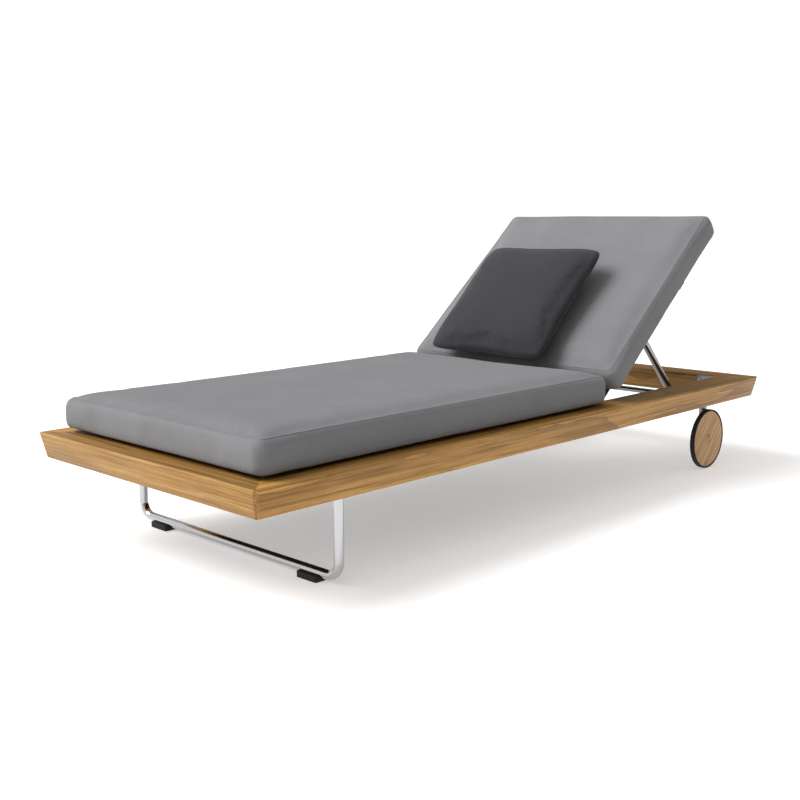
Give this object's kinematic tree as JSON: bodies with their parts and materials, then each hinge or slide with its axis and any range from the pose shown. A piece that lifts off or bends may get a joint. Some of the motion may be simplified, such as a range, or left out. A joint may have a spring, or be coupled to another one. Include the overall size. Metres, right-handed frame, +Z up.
{
  "type": "reclining sun lounger",
  "caption": "Timber garden lounger on a U-shaped steel leg and timber wheels, with a ratchet backrest, cushions and a throw pillow",
  "frame": {"origin": "on the ground under the middle of the frame", "axes": "+Z up, +X across the lounger, -Y the foot end, +Y the head end with the wheels"},
  "size_m": [0.8, 2, 0.7569],
  "materials": {
    "timber": "oiled hardwood",
    "steel": "brushed stainless",
    "polished_steel": "polished stainless",
    "black_metal": "matt black powder coat",
    "black_board": "matt laminate",
    "foot_rubber": "moulded",
    "tyre": "smooth",
    "cushion_fabric": "plain woven outdoor fabric",
    "strap": "webbing",
    "pillow_fabric": "plain woven outdoor fabric"
  },
  "bodies": {
    "frame": {"foot_rail": "timber", "head_rail": "timber", "side_rail_left": "timber", "side_rail_right": "timber", "corner_brackets": "steel", "corner_screws": "steel", "batten_left": "timber", "batten_right": "timber", "batten_foot": "timber", "cross_rail": "timber", "seat_bar_left": "black_metal", "seat_bar_right": "black_metal", "seat_bar_foot": "black_metal", "seat_bar_head": "black_metal", "seat_cross_bars": "black_metal", "seat_board": "black_board", "hinge_plate_left": "steel", "hinge_plate_right": "steel", "hinge_pins": "steel", "track_left": "steel", "track_right": "steel", "rack_left": "timber", "rack_right": "timber", "track_screws": "steel", "leg_tube": "polished_steel", "leg_bushes": "polished_steel", "foot_pad_left": "foot_rubber", "foot_pad_right": "foot_rubber", "wheel_bracket_left": "steel", "wheel_bracket_right": "steel", "bracket_screws": "steel", "axle_bolt_left": "steel", "axle_bolt_right": "steel", "axle_spacers": "steel", "seat_cushion": "cushion_fabric"},
    "backrest": {"back_bar_left": "black_metal", "back_bar_right": "black_metal", "back_bar_top": "black_metal", "back_bar_bottom": "black_metal", "back_bar_middle": "black_metal", "back_board": "black_board", "board_screws": "black_metal", "strut_bracket_left": "polished_steel", "strut_bracket_right": "polished_steel", "strut_pins": "polished_steel"},
    "back_pad": {"back_cushion": "cushion_fabric", "back_strap": "strap", "pillow": "pillow_fabric"},
    "struts": {"strut_left": "polished_steel", "strut_right": "polished_steel", "cross_rod": "polished_steel"},
    "wheel_left": {"wheel_disc_left": "timber", "tyre_left": "tyre", "hub_cap_left": "timber"},
    "wheel_right": {"wheel_disc_right": "timber", "tyre_right": "tyre", "hub_cap_right": "timber"}
  },
  "joints": [
    {"name": "backrest_hinge", "type": "hinge", "parent": "frame", "child": "backrest", "pos_m": [0, 0.262, 0.249], "axis": [1, 0, 0], "range_deg": [-40.3, 18]},
    {"name": "strut_pivot", "type": "hinge", "parent": "backrest", "child": "struts", "pos_m": [0, 0.5172, 0.42898], "axis": [1, 0, 0], "range_deg": [-40, 88]},
    {"name": "back_pad_slide", "type": "slide", "parent": "backrest", "child": "back_pad", "axis": [0, 0.7627, 0.6468], "range_m": [-0.073, 0.034]},
    {"name": "wheel_left_spin", "type": "hinge", "parent": "frame", "child": "wheel_left", "pos_m": [-0.364, 0.757, 0.089], "axis": [1, 0, 0], "continuous": true},
    {"name": "wheel_right_spin", "type": "hinge", "parent": "frame", "child": "wheel_right", "pos_m": [0.364, 0.757, 0.089], "axis": [1, 0, 0], "continuous": true}
  ],
  "couplings": [
    {"joint": "strut_pivot", "follows": "backrest_hinge", "ratio": -2.15},
    {"joint": "back_pad_slide", "follows": "backrest_hinge", "m_per_rad": 0.102}
  ]
}
